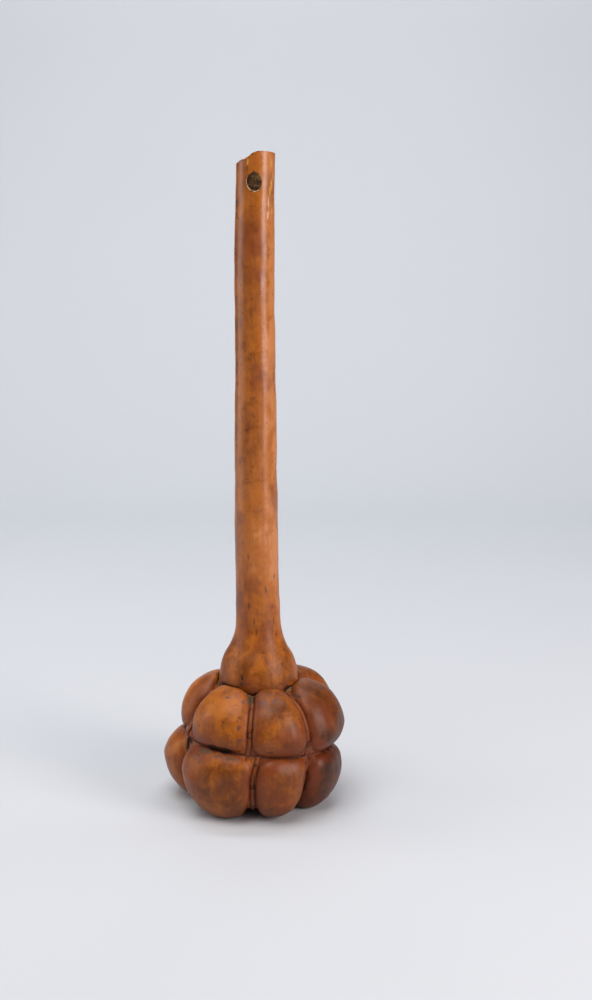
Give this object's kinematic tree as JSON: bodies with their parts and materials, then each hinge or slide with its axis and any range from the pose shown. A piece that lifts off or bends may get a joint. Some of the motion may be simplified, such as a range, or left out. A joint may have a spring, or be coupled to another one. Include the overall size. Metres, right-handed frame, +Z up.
{
  "type": "dried bottle gourd",
  "caption": "Hollow dried bottle gourd with a long straight neck, cut open at its end, and a body of rounded lobes in two tiers.",
  "frame": {"origin": "middle of the footprint, on the surface that the gourd stands on", "axes": "+Z up, along the neck; -Y towards the side with the hanging hole; +X completes a right-handed frame"},
  "size_m": [0.1694, 0.1606, 0.6009],
  "materials": {
    "rind": "polished, aged orange-brown rind"
  },
  "bodies": {
    "root": {"gourd": "rind"}
  },
  "joints": []
}
